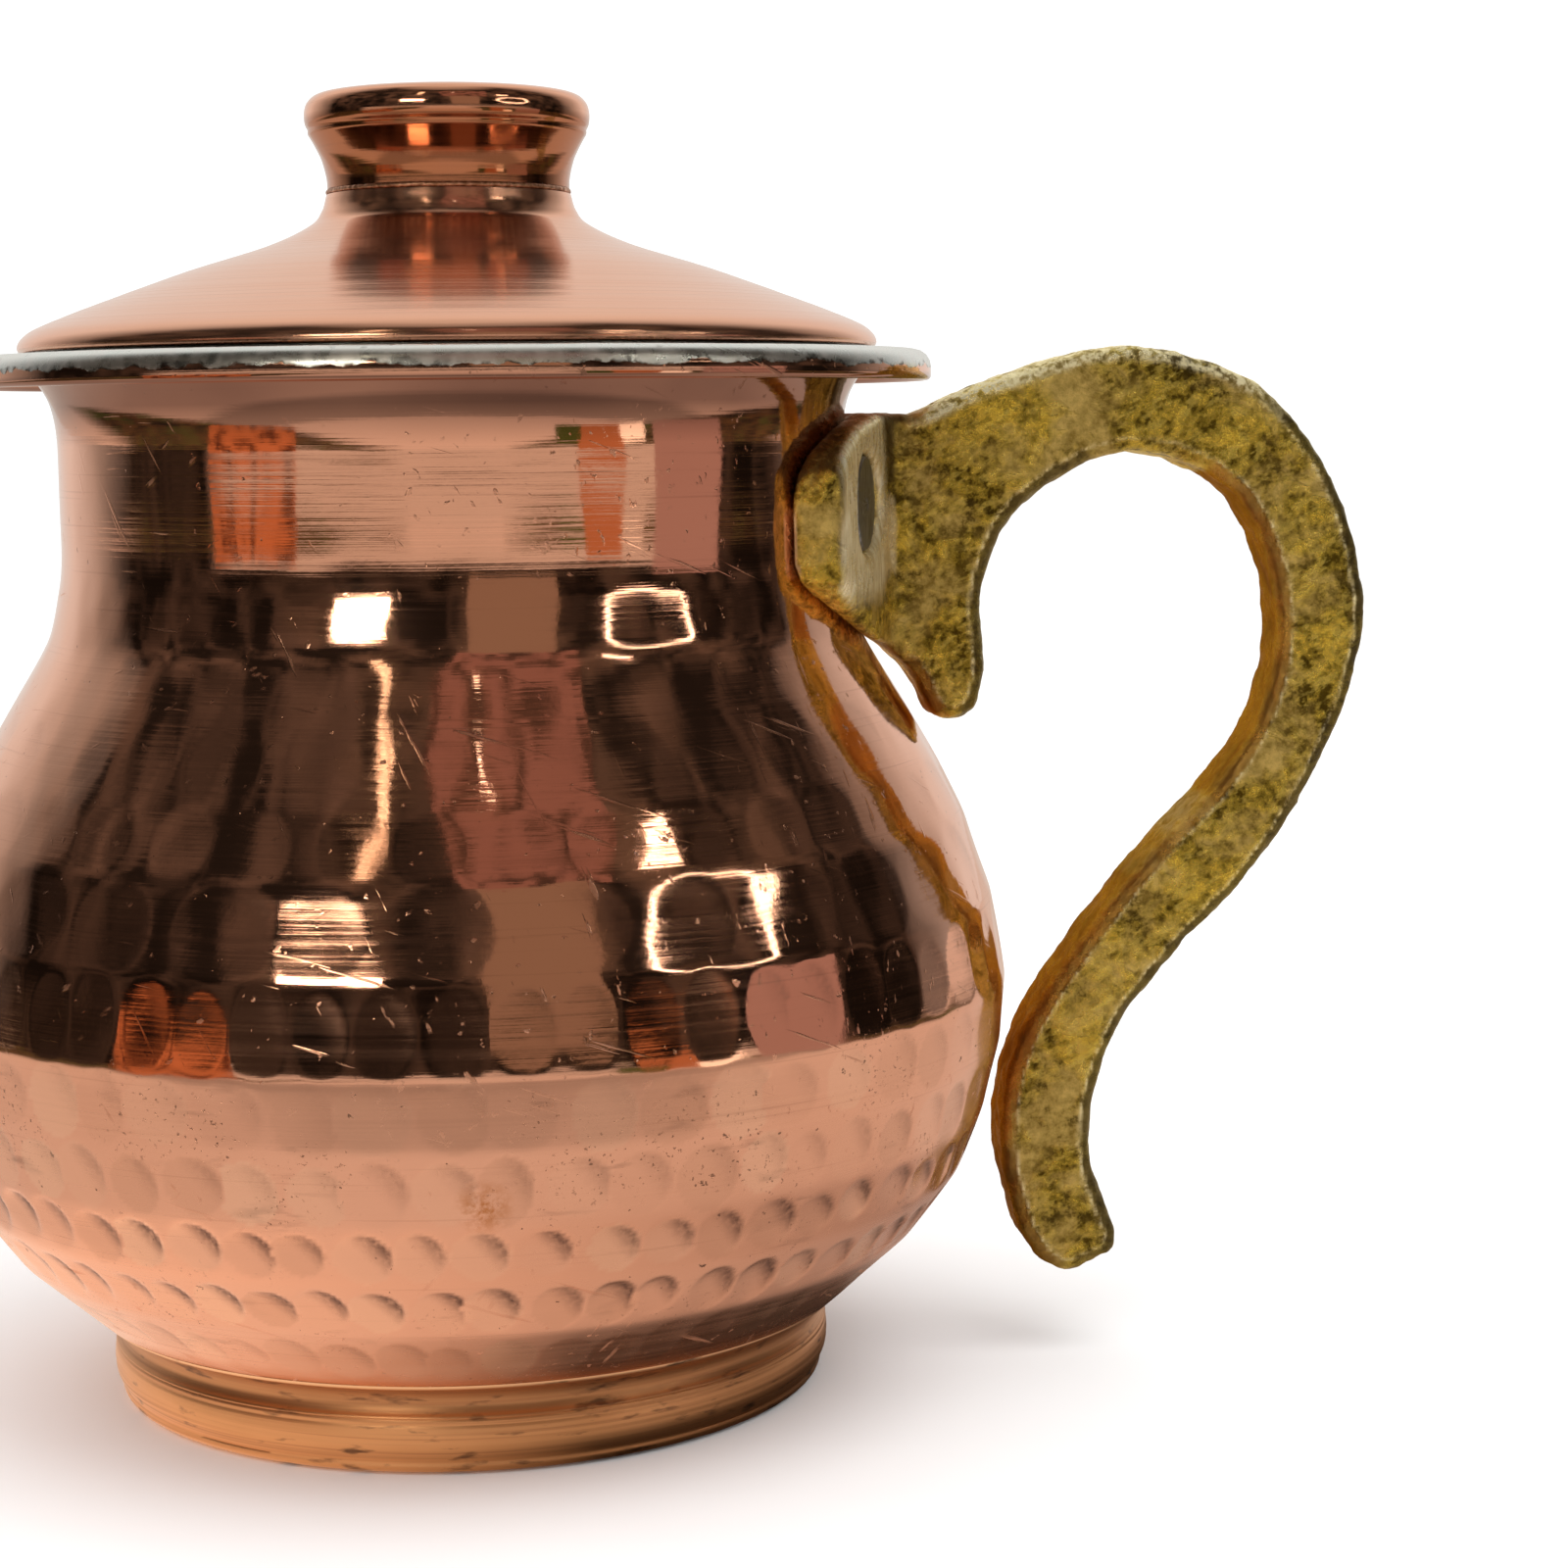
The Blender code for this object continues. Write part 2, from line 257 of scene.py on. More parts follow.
def scoop(across, up, lean):
    """Depth and painted shade of one hammer mark, each 0 to 1.

    With a lean of 1 it is steep at its upper right only, and the painted shade stays in that steep
    side.
    """
    inside = np.clip(1 - across**2 - up**2, 0, None)
    aside = (across + up) / math.sqrt(2)
    depth = inside**(1 - 0.4 * lean) * (1 + lean * aside) / (1 + 0.3 * lean)
    dirt_and_shade = np.clip(inside / 0.30, 0, 1) * np.clip(1.15 * aside + 0.25 * across, 0, 1)**1.5
    return depth, dirt_and_shade


def hammered(angles, outline):
    """The hammer marks at each point of the turned outline: inward depth, painted shade and tone."""
    rng = np.random.default_rng(SEED)
    depth = np.zeros((len(outline), len(angles)))
    dirt_and_shade = np.zeros_like(depth)
    tone = np.full_like(depth, 0.5)
    for height, spacing, half, most, lean in HAMMER_ROWS:
        near = np.flatnonzero(np.abs(outline[:, 1] - height) < half * 1.3)
        radius = outline[np.abs(outline[:, 1] - height).argmin(), 0]
        count = round(TURN * radius / spacing)
        start = rng.uniform(0, TURN)
        for mark in range(count):
            center = start + (mark + rng.uniform(-0.12, 0.12)) * TURN / count
            middle = height + rng.uniform(-0.35, 0.35)
            wide = SCOOP_WIDTH * spacing * rng.uniform(0.9, 1.15)
            tall = half * rng.uniform(0.88, 1.1)
            deep = most * rng.uniform(0.65, 1.15)
            turn = (angles - center + math.pi) % TURN - math.pi
            side = np.flatnonzero(np.abs(turn) * radius < wide * 1.05)
            across = turn[side] * radius / wide
            up = (outline[near, 1] - middle) / tall
            patch, steep = scoop(across[None, :], up[:, None], lean)
            where = np.ix_(near, side)
            depth[where] = np.maximum(depth[where], deep * patch)
            dirt_and_shade[where] = np.where(patch > 0, steep * min(1, deep / 0.36), dirt_and_shade[where])
            tone[where] = np.where(patch > 0.03, rng.uniform(0, 1), tone[where])
    return depth, dirt_and_shade, tone


# Planished bands of the belly: lower ridge, upper ridge, how flat the band is between them
BANDS = (
    (11.5, 18.8, 0.9),
    (18.8, 26.0, 0.8),
    (26.0, 32.8, 0.7),
    (32.8, 40.9, 0.7),
    (40.9, 48.2, 0.9),
    (48.2, 58.2, 0.75),
    (58.2, 67.6, 0.95),
    (67.6, 74.4, 0.8),
    (74.4, 82.7, 0.7),
    (82.7, 90.0, 0.5),
    (90.0, 97.7, 0.5),
)


def planished(path):
    """The belly's outline drawn in towards the chord of each band."""
    flat = path.copy()
    for low, high, share in BANDS:
        inside = (path[:, 1] >= low) & (path[:, 1] <= high)
        ends = np.interp([low, high], path[:, 1], path[:, 0])
        chord = np.interp(path[inside, 1], [low, high], ends)
        flat[inside, 0] += share * (chord - path[inside, 0])
    return softened(flat, 2)


# ---------------------------------------------------------------- pot

def belly_curve():
    """Outer side of the pot from the foot to the top of the neck."""
    return smooth_curve(
        [(45.6, 10.9), (53.8, 18.2), (61.0, 28.8), (65.0, 46.9), (61.6, 63.8), (55.0, 77.6),
         (48.4, 88.4), (46.5, 94.5), (NECK, 99.2), (NECK, 104.5), (NECK, NECK_TOP)],
        40,
    )


def rim_curve():
    """Underside of the rim, from the top of the neck out to the lip's lower edge."""
    under = RIM_TOP - SHEET
    outer = RIM_RADIUS - SHEET
    flare = smooth_curve(
        [(NECK, 110.2), (46.03, 112.6), (46.3, 115.1), (46.9, 117.3), (48.1, 119.3), (49.7, 120.7),
         (51.4, under)],
        10,
    )
    lip = arc((outer - LIP_RADIUS, under - LIP_RADIUS), LIP_RADIUS, 90, 0, 6)
    return joined(flare, lip, [(outer, RIM_TOP - LIP_DROP)])


FINE_BELOW = 62          # the hammer marks under this height need closer points, millimetres
INNER_FINE_ABOVE = 112


def pot_outline():
    """(closed outline, how many of its first points are the outer side)"""
    belly = belly_curve()
    is_low = belly[:, 1] < FINE_BELOW
    low, high = belly[is_low], belly[~is_low]
    outer = joined(
        [(41.3, 5.6), (41.3, 9.6), (42.2, 10.5), (44.4, 10.5)],
        planished(joined(evenly(low, 0.42), evenly(high, 0.75))),
        evenly(rim_curve(), 0.35),
    )
    inner = outer + SHEET * left_of(outer)
    lip_end = arc((outer[-1] + inner[-1]) / 2, SHEET / 2, 180, 360, 6)[1:-1]
    is_top = inner[:, 1] >= INNER_FINE_ABOVE
    inner_low, inner_top = evenly(inner[~is_top], 4.0), inner[is_top]
    outline = joined(outer, lip_end, inner_top[::-1], inner_low[::-1], [(42.4, 5.6)])
    return outline, len(outer)


def make_pot_body():
    """The pot, with hammer marks and unevenness on its outer side only."""
    angles = angles_round(POT_STEPS)
    outline, outer_count = pot_outline()
    heights = outline[:, 1]
    outer = np.arange(len(outline)) < outer_count
    off_foot = np.clip((heights - 11.2) / 3, 0, 1)
    off_rim = np.clip((116 - heights) / 6, 0, 1)
    on_belly = (outer * off_foot * off_rim)[:, None]
    depth, dirt_and_shade, tone = hammered(angles, outline)
    uneven = ripple(angles, heights, 0.030, SEED + 1)
    dents = ripple(angles, heights, 0.012, SEED + 13, waves=24, longest=22, tallest=0.9)
    dents *= np.clip((100 - heights) / 6, 0.2, 1)[:, None]
    rings = turning_rings(heights, 0.006, SEED + 2) * np.clip((heights - 60) / 20, 0, 1)

    def relief(_angles, _path):
        return on_belly * (uneven + dents - depth - 0.05 + rings[:, None])

    tinned = np.where(outer, -1.0, 1.0)
    on_lip = (outline[:, 0] > RIM_RADIUS - 1.2) & (heights > NECK_TOP)
    tinned = np.where(on_lip, np.clip((heights - TIN_EDGE) / 0.5, -1, 1), tinned)
    # Painted shade on the steep upper right side of each hammer mark goes to the material with these
    # marks
    marks = {"tinned": tinned, "dirt_and_shade": dirt_and_shade * on_belly, "tone": 0.5 + (tone - 0.5) * on_belly}
    return turned("pot_body_copper", outline, POT_STEPS, relief, marks=marks)


def make_foot():
    """The spun foot: open edge, groove and bevelled wall outside, tinned floor inside."""
    groove = smooth_curve(
        [(44.6, 10.2), (43.4, 9.7), (42.6, 8.8), (42.35, 7.8), (42.6, 7.0), (43.0, 6.55)],
        10,
    )
    wall = smooth_curve(
        [(42.85, 6.3), (43.0, 6.0), (42.9, 5.7), (43.05, 5.3), (43.1, 4.0), (42.9, 2.6), (42.2, 1.2)],
        8,
    )
    outside = joined(
        evenly(joined(arc((44.7, 10.75), 0.5, 90, -60, 8), groove, wall), 0.2),
        arc((41.3, 1.0), 1.0, 0, -90, 6),
    )
    underside = [(20, 0), (0.01, 0)]
    inside = [(0.01, 1.1), (20, 1.1), (37.4, 1.1), (41.4, 3.8), (41.8, 4.6), (41.8, 7.4)]
    outline = joined(outside, underside, inside, [(42.2, 9.2), (43.4, 10.9)])[::-1]

    def relief(angles, path):
        wall_rows = (path[:, 0] > 42.2) * (path[:, 1] > 0.8) * (path[:, 1] < 10.2)
        rings = turning_rings(path[:, 1], 0.010, SEED + 3)
        uneven = ripple(angles, path[:, 1], 0.02, SEED + 4, longest=4)
        return wall_rows[:, None] * (rings[:, None] + uneven - 0.04)

    on_inside = (outline[:, 0] < 42) & (outline[:, 1] > 1) & (outline[:, 1] < 8)
    marks = {"tinned": np.where(on_inside, 1.0, -1.0)}
    return turned("foot_turned", outline, LID_STEPS, relief, marks=marks)


def make_foot_solder():
    """The solder inside, in the corner between the pot's collar and the foot's wall."""
    outline = joined(arc((40.2, 4.6), 0.75, 0, 150, 6), [(38.8, 3.1), (40.9, 4.2)])

    def relief(angles, path):
        return ripple(angles, path[:, 1], 0.05, SEED + 5, longest=20)

    return turned("foot_solder_bead", outline, KNOB_STEPS, relief)


# ---------------------------------------------------------------- lid

def lid_outer():
    """Outer side of the lid, from its rolled edge up the cone to the joint under the knob."""
    roll = smooth_curve(
        [(50.0, 122.75), (50.15, 123.3), (49.75, 124.2), (48.6, 125.15), (46.6, 126.1)],
        12,
    )
    cone = smooth_curve(
        [(44.5, 126.95), (41.2, 128.2), (31.0, 131.9), (21.5, 134.9), (16.4, 137.3), (14.9, 139.0),
         (14.3, JOINT[0])],
        12,
    )
    return evenly(joined([(49.7, LID_BOTTOM)], roll, cone), 0.4)


def make_lid_shell():
    outer = lid_outer()
    inner = outer + SHEET * left_of(outer)
    inner[0] = (49.0, LID_BOTTOM)
    outline = joined(outer, evenly(inner[::-1], 1.2))
    on_top = np.arange(len(outline)) < len(outer)

    def relief(angles, path):
        rings = turning_rings(path[:, 1], 0.006, SEED + 6)
        uneven = ripple(angles, path[:, 1], 0.02, SEED + 7, longest=3)
        away = np.clip((JOINT[0] - path[:, 1]) / 3, 0, 1) * on_top
        return away[:, None] * (rings[:, None] + uneven - 0.03)

    marks = {"tinned": np.where(on_top, -1.0, 1.0)}
    return turned("lid_shell_copper", outline, LID_STEPS, relief, marks=marks)


def make_lid_collar():
    """The ring under the lid that drops into the pot's mouth, with a rounded lower edge."""
    outer, bottom, top = 44.2, 115.2, 125.2
    inner = outer - SHEET
    outline = joined(
        evenly([(outer, bottom), (outer, top)], 0.5),
        [(inner, top + 0.4)],
        evenly([(inner, top), (inner, bottom)], 1.0),
        arc((outer - SHEET / 2, bottom + 0.15), SHEET / 2, 180, 360, 6)[1:-1],
    )

    def relief(angles, path):
        return ripple(angles, path[:, 1], 0.02, SEED + 8, longest=4) - 0.03

    return turned("lid_collar_tinned", outline, COLLAR_STEPS, relief)


def make_knob_solder():
    """The grainy bead round the waist, between the lid and the knob."""
    bottom, top = JOINT
    bead = arc((14.0, (bottom + top) / 2), 0.36, -75, 75, 6)
    outline = joined(bead, [(13.0, top), (13.0, bottom)])

    def relief(angles, path):
        outward = (path[:, 0] > 13.5)[:, None]
        return outward * (ripple(angles, path[:, 1], 0.03, SEED + 9, longest=30, tallest=2) - 0.03)

    return turned("knob_solder_bead", outline, KNOB_SOLDER_STEPS, relief)


def make_lid_knob():
    """The hollow knob: flare, rounded band and slightly domed top."""
    flare = smooth_curve(
        [(14.15, JOINT[1]), (14.25, 142.9), (14.75, 144.9), (15.6, 146.7), (16.3, 147.9)],
        10,
    )
    band = smooth_curve(
        [(16.25, 148.3), (16.6, 149.1), (16.65, 150.3), (16.3, 151.4), (15.3, 152.25), (13.2, 152.62),
         (10.0, 152.7)],
        8,
    )
    outside = joined(evenly(joined(flare, band), 0.25), [(5, 152.78), (0.01, 152.8)])
    inside = outside + SHEET * left_of(outside)
    inside[-2:] = [(5, 151.7), (0.01, 151.7)]
    outline = joined(outside[::-1], inside[::3], inside[-1:])[::-1]

    def relief(angles, path):
        rings = turning_rings(path[:, 1], 0.004, SEED + 10)
        return rings[:, None] * np.ones(len(angles))

    return turned("lid_knob_copper", outline, KNOB_STEPS, relief, closed=False)


# ---------------------------------------------------------------- handle

CAST_VOXEL = 0.6 * MM
TAIL_TOP = 75            # under this height the handle is only bar, millimetres
SKIN = (                 # scale of the lumps in millimetres, how far they stand up or sink
    (9.0, 0.30),
    (3.6, 0.26),
    (1.7, 0.22),
    (0.9, 0.12),
)
SLOPE_START = Vector((43.2, -27.1))   # plan of the filed slope beside the pad's front, millimetres
SLOPE_END = Vector((51.2, -6.2))


def apply_modifiers(obj, modifiers):
    """Replaces the object's mesh with what the modifiers make of it."""
    for kind, settings in modifiers:
        modifier = obj.modifiers.new(kind.lower(), kind)
        for key, value in settings.items():
            setattr(modifier, key, value)
    graph = bpy.context.evaluated_depsgraph_get()
    mesh = bpy.data.meshes.new_from_object(obj.evaluated_get(graph))
    obj.modifiers.clear()
    obj.data = mesh
    mesh.name = obj.name


def slope_nearness(points):
    """1 on the filed slopes either side of the handle's root, fading to 0 off them."""
    across = np.array((SLOPE_END - SLOPE_START).normalized())
    outward = np.array([across[1], -across[0]])
    plan = np.column_stack([points[:, 0], -np.abs(points[:, 1])]) - np.array(SLOPE_START)
    depth = plan @ outward
    along = plan @ across
    on_plane = np.clip(1 - (np.abs(depth) - 0.5) / 0.5, 0, 1)
    in_reach = np.clip((along + 0.5) / 1.0, 0, 1) * np.clip((21.0 - along) / 3.0, 0, 1)
    return on_plane * in_reach * np.clip((points[:, 2] - 92) / 3, 0, 1)


def off_pad(points):
    """0 on the pad against the neck, 1 on the bar."""
    from_axis = np.hypot(points[:, 0], points[:, 1])
    return np.where(points[:, 2] < TAIL_TOP, 1, np.clip((from_axis - 53) / 3, 0, 1))


def cast_shape():
    """The CAD handle as an even mesh, with its pad rounded off more than its bar."""
    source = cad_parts["handle"]
    handle = add_object("handle_cast", source.data.copy())
    voxels = {"mode": "VOXEL", "voxel_size": CAST_VOXEL}
    apply_modifiers(handle, [("REMESH", voxels), ("SHRINKWRAP", {"target": source})])
    pad = handle.vertex_groups.new(name="rounded")
    for index in np.flatnonzero(off_pad(coordinates(handle)) < 0.5):
        pad.add([int(index)], 1.0, "REPLACE")
    round_off = {"factor": 0.5, "iterations": 26, "vertex_group": "rounded"}
    apply_modifiers(handle, [("SMOOTH", round_off), ("SMOOTH", {"factor": 0.5, "iterations": 5})])
    return handle


def make_handle():
    """The cast handle, with its casting skin as relief and marks for its material."""
    handle = cast_shape()
    points = coordinates(handle)
    normals = point_vectors(handle, "normal")
    skin = np.zeros(len(points))
    for size, reach in SKIN:
        skin += reach * np.array([noise.noise(Vector(point) / size) for point in points])
    filed = slope_nearness(points)
    off_neck = np.clip((np.hypot(points[:, 0], points[:, 1]) - 47.5) / 2.5, 0, 1)
    off_neck = np.where(points[:, 2] < TAIL_TOP, 1, off_neck)
    flat = np.abs(normals[:, 1])
    reach = np.where(flat > 0.6, 1.0, 0.7) * (1 - 0.9 * filed) * (0.25 + 0.75 * off_neck)
    moved = (points + normals * (skin * reach)[:, None]) * MM
    moved = np.clip(moved, *[np.array(corner) for corner in cad_box])
    handle.data.vertices.foreach_set("co", moved.astype(np.float32).ravel())
    handle.data.update()
    handle.data.shade_smooth()
    off = off_pad(points)
    mark_points(handle.data, "skin", 0.5 + skin * reach)
    mark_points(handle.data, "filed", filed)
    mark_points(handle.data, "pad", (1 - off) * np.clip((0.9 - flat) / 0.1, 0, 1))
    for mark, values in edge_marks(normals).items():
        mark_points(handle.data, mark, values * off)
    handle.data.materials.clear()
    return handle


def edge_marks(normals):
    """Which points are on the bar's worn edges with a painted highlight, its outer side with painted
    shade and its inner side with a painted amber reflection.
    """
    flat = np.abs(normals[:, 1])
    plan = normals[:, [0, 2]] / np.maximum(np.linalg.norm(normals[:, [0, 2]], axis=1), 1e-6)[:, None]
    out, up = plan.T
    near_face = np.clip(1 - np.abs(flat - 0.96) / 0.03, 0, 1)
    near_side = np.clip((0.96 - flat) / 0.04, 0, 1)
    top = np.clip((up - 0.66) / 0.16, 0, 1)
    copper_reflection = near_side * np.clip((-out - 0.35) / 0.2, 0, 1) * (1 - top)
    return {
        "copper_reflection": copper_reflection,
        "bright": np.maximum(near_face * (0.45 + 0.55 * np.abs(out)), near_side * top),
        "dark": near_side * np.clip((out - 0.2) / 0.3, 0, 1) * (1 - top),
    }


RIVET_ANGLE = math.radians(18.0)      # from the middle of the handle, round the neck
RIVET_HEIGHT = 104.5                  # millimetres


def make_rivet(label, side):
    """A rivet turned about its own axis: dome in the neck, shank, head ground flush with the pad."""
    outline = joined(
        [(0.01, 42.9)],
        arc((0.6, 44.4), 3.4, -75, 0, 8),
        [(2.5, 44.6), (2.5, 47.9)],
        arc((5.1, 48.4), 0.4, -90, 0, 4),
        arc((5.1, 49.3), 0.4, 0, 80, 4),
        [(3.0, 49.76), (0.01, 49.8)],
    )
    outline = evenly(outline, 0.35)

    def relief(angles, path):
        face = (path[:, 1] > 49.2)[:, None]
        return face * (ripple(angles, path[:, 0] * 3, 0.02, SEED + 12, tallest=1.5) - 0.03)

    rivet = turned(f"rivet_{label}", outline, RIVET_STEPS, relief, closed=False)
    turn = Matrix.Rotation(side * RIVET_ANGLE, 4, "Z")
    lay = Matrix.Rotation(math.pi / 2, 4, "Y")
    rivet.data.transform(turn @ Matrix.Translation((0, 0, RIVET_HEIGHT * MM)) @ lay)
    return rivet


# ---------------------------------------------------------------- materials

class Shader:
    """A material's nodes, with short ways to add to them."""

    def __init__(self, name, metallic=1.0):
        self.material = bpy.data.materials.new(name)
        self.material.use_nodes = True
        self.tree = self.material.node_tree
        self.surface = self.tree.nodes["Principled BSDF"]
        self.surface.inputs["Metallic"].default_value = metallic

    def add(self, kind, inputs=(), **settings):
        node = self.tree.nodes.new(kind)
        for key, value in settings.items():
            setattr(node, key, value)
        for key, value in dict(inputs).items():
            self.put(node.inputs[key], value)
        return node

    def put(self, socket, value):
        if isinstance(value, bpy.types.NodeSocket):
            self.tree.links.new(value, socket)
        elif isinstance(value, tuple) and len(value) == 3 and socket.type == "RGBA":
            socket.default_value = (*value, 1)
        else:
            socket.default_value = value

    def set(self, **values):
        for key, value in values.items():
            self.put(self.surface.inputs[key.replace("_", " ")], value)

    def where(self):
        """Coordinates in metres on the object."""
        return self.add("ShaderNodeTexCoord").outputs["Object"]

    def place(self, scale, turn):
        """Coordinates on the object, turned in radians and scaled."""
        turned_to = self.add("ShaderNodeMapping", {"Vector": self.where(), "Rotation": turn}).outputs[0]
        return self.add("ShaderNodeMapping", {"Vector": turned_to, "Scale": scale}).outputs[0]

    def axes(self):
        """X, Y and Z in metres."""
        return self.add("ShaderNodeSeparateXYZ", {0: self.where()}).outputs

    def height(self):
        """Height above the foot's underside, in metres."""
        return self.axes()["Z"]

    def distance(self, place):
        """Distance from a place, in metres."""
        inputs = {0: self.where(), 1: place}
        return self.add("ShaderNodeVectorMath", inputs, operation="DISTANCE").outputs["Value"]

    def noise(self, scale, detail=2.0, turn=(0, 0, 0), warp=0.0, rough=0.5):
        scale = scale if isinstance(scale, tuple) else (scale,) * 3
        return self.add("ShaderNodeTexNoise", {
            "Vector": self.place(scale, turn), "Scale": 1.0, "Detail": detail, "Distortion": warp,
            "Roughness": rough,
        }).outputs[0]

    def level(self, value, low, high, to_low=0.0, to_high=1.0):
        """The value's way from low to high, as a way from to_low to to_high, and no further."""
        return self.add("ShaderNodeMapRange", {
            "Value": value, "From Min": low, "From Max": high, "To Min": to_low, "To Max": to_high,
        }).outputs[0]

    def math(self, operation, a, b=0.0):
        return self.add("ShaderNodeMath", {0: a, 1: b}, operation=operation).outputs[0]

    def both(self, *shares):
        """The product of several values."""
        total = shares[0]
        for share in shares[1:]:
            total = self.math("MULTIPLY", total, share)
        return total

    def most(self, *shares):
        """The largest of several values."""
        total = shares[0]
        for share in shares[1:]:
            total = self.math("MAXIMUM", total, share)
        return total

    def less(self, value):
        return self.math("SUBTRACT", 1.0, value)

    def mix(self, share, a, b):
        """Colour a where the share is 0 and b where it is 1."""
        return self.add("ShaderNodeMix", {0: share, 6: a, 7: b}, data_type="RGBA").outputs[2]

    def attribute(self, name):
        return self.add("ShaderNodeAttribute", attribute_name=name).outputs["Fac"]

    def bump(self, height, distance, before=None):
        """A bump whose full height is this many millimetres."""
        inputs = {"Height": height, "Distance": distance * MM, "Strength": 1.0}
        if before is not None:
            inputs["Normal"] = before
        return self.add("ShaderNodeBump", inputs).outputs[0]

    def brushed_round(self, amount):
        """Stretches highlights across the turning lines that run round the Z axis."""
        tangent = self.add("ShaderNodeTangent", direction_type="RADIAL", axis="Z")
        self.set(Anisotropic=amount, Anisotropic_Rotation=0.25, Tangent=tangent.outputs[0])

    def tin_over(self, color, roughness, reach):
        """Lays a grey tin coating wherever the mesh is marked as tinned, with an uneven dark edge."""
        wander = self.level(self.noise((300, 300, 420), 4), 0.3, 0.7, -reach, reach)
        edge = self.math("ADD", self.attribute("tinned"), wander)
        mask = self.level(edge, -0.1, 0.1)
        mottle = self.noise(520, 4)
        tin = self.mix(self.level(mottle, 0.30, 0.70), (0.74, 0.79, 0.77), (0.97, 0.98, 0.96))
        border = self.both(self.level(edge, 0.55, 0.1), self.level(self.noise(900, 3), 0.42, 0.55))
        tin = self.mix(border, tin, (0.10, 0.085, 0.07))
        rough = self.level(mottle, 0.3, 0.7, 0.20, 0.38)
        mixed = self.math("ADD", self.both(mask, rough), self.both(self.less(mask), roughness))
        return self.mix(mask, color, tin), mixed


STAIN = (0.0012, -0.0630, 0.0348)        # an orange stain low on the front, metres


def polished_copper():
    """The pot: mirror-polished shoulder, satin hammered underside, turning lines, specks, a stain,
    painted shade in the hammer marks and under the rim.
    """
    s = Shader("pot_polished")
    height = s.height()
    low = s.level(height, 0.0495, 0.046)
    lines = s.noise((22, 22, 2300), 4)
    broad = s.noise((38, 38, 60), 3)
    color = s.mix(broad, (0.94, 0.51, 0.35), (0.86, 0.44, 0.29))
    color = s.mix(s.both(s.level(lines, 0.62, 0.75), 0.3), color, (0.42, 0.20, 0.13))
    # Dirt: clusters of fine pits, most of them just under the widest part, and soft smears
    clusters = s.level(s.noise((75, 75, 95), 3), 0.50, 0.66)
    under_widest = s.both(low, s.level(height, 0.026, 0.036))
    pits = s.level(s.noise(1700, 5, rough=0.65), 0.62, 0.66)
    pits = s.both(pits, s.most(s.both(clusters, under_widest), s.both(clusters, low, 0.5)))
    specks = s.both(s.level(s.noise(640, 4, rough=0.6), 0.70, 0.73), s.level(low, 0, 1, 0.5, 1.0))
    smears = s.both(s.level(s.noise((110, 110, 520), 5), 0.60, 0.72), low, clusters, 0.5)
    dark = s.most(pits, specks)
    color = s.mix(s.most(s.both(dark, 0.85), smears), color, (0.11, 0.06, 0.045))
    tone = s.attribute("tone")
    color = s.mix(s.both(s.level(tone, 0.5, 0.0, 0, 0.30), low), color, (0.60, 0.32, 0.20))
    color = s.mix(s.both(s.level(tone, 0.5, 1.0, 0, 0.35), low), color, (1.0, 0.64, 0.44))
    # Painted shade in the hollow under the rim
    under_rim_shade = s.both(s.level(height, 0.1120, 0.1165), s.level(height, 0.1197, 0.1190))
    color = s.mix(s.both(under_rim_shade, s.level(broad, 0.2, 0.8, 0.7, 1.0)), color, (0.22, 0.11, 0.08))
    # Painted shade on the steep upper right side of each hammer mark
    scoop_shade = s.both(s.attribute("dirt_and_shade"), s.level(s.noise(1500, 4), 0.30, 0.55, 0.55, 0.95))
    color = s.mix(scoop_shade, color, (0.15, 0.078, 0.060))
    ragged = s.level(s.noise(620, 6, rough=0.7), 0.42, 0.60)
    stain = s.both(s.level(s.distance(STAIN), 0.0034, 0.0004), ragged)
    color = s.mix(stain, color, (0.52, 0.18, 0.04))
    rough = s.level(lines, 0.35, 0.8, 0.040, 0.13)
    rough = s.math("ADD", rough, s.both(low, s.level(broad, 0.3, 0.7, 0.13, 0.20)))
    rough = s.math("ADD", rough, s.both(s.most(dark, scoop_shade), 0.25))
    # Polishing scratches in three directions, and lines left by the lathe
    hairs = s.most(
        s.level(s.noise((900, 900, 40), 3, turn=(0.5, 0.4, 0)), 0.68, 0.74),
        s.level(s.noise((60, 60, 1100), 3, turn=(0.25, -0.3, 0)), 0.68, 0.74),
        s.level(s.noise((50, 800, 800), 3, turn=(0.2, 0.7, 0.9)), 0.68, 0.74),
    )
    hairs = s.both(hairs, s.level(s.noise(55, 2), 0.36, 0.54))
    rough = s.math("ADD", rough, s.both(hairs, 0.30))
    color, rough = s.tin_over(color, rough, 0.7)
    normal = s.bump(s.both(lines, s.level(height, 0.055, 0.070, 0.6, 1.0)), 0.010)
    normal = s.bump(hairs, 0.012, normal)
    normal = s.bump(s.noise(1100, 3), 0.004, normal)
    normal = s.bump(dark, -0.03, normal)
    s.set(Base_Color=color, Roughness=rough, Normal=normal)
    s.brushed_round(0.35)
    return s.material


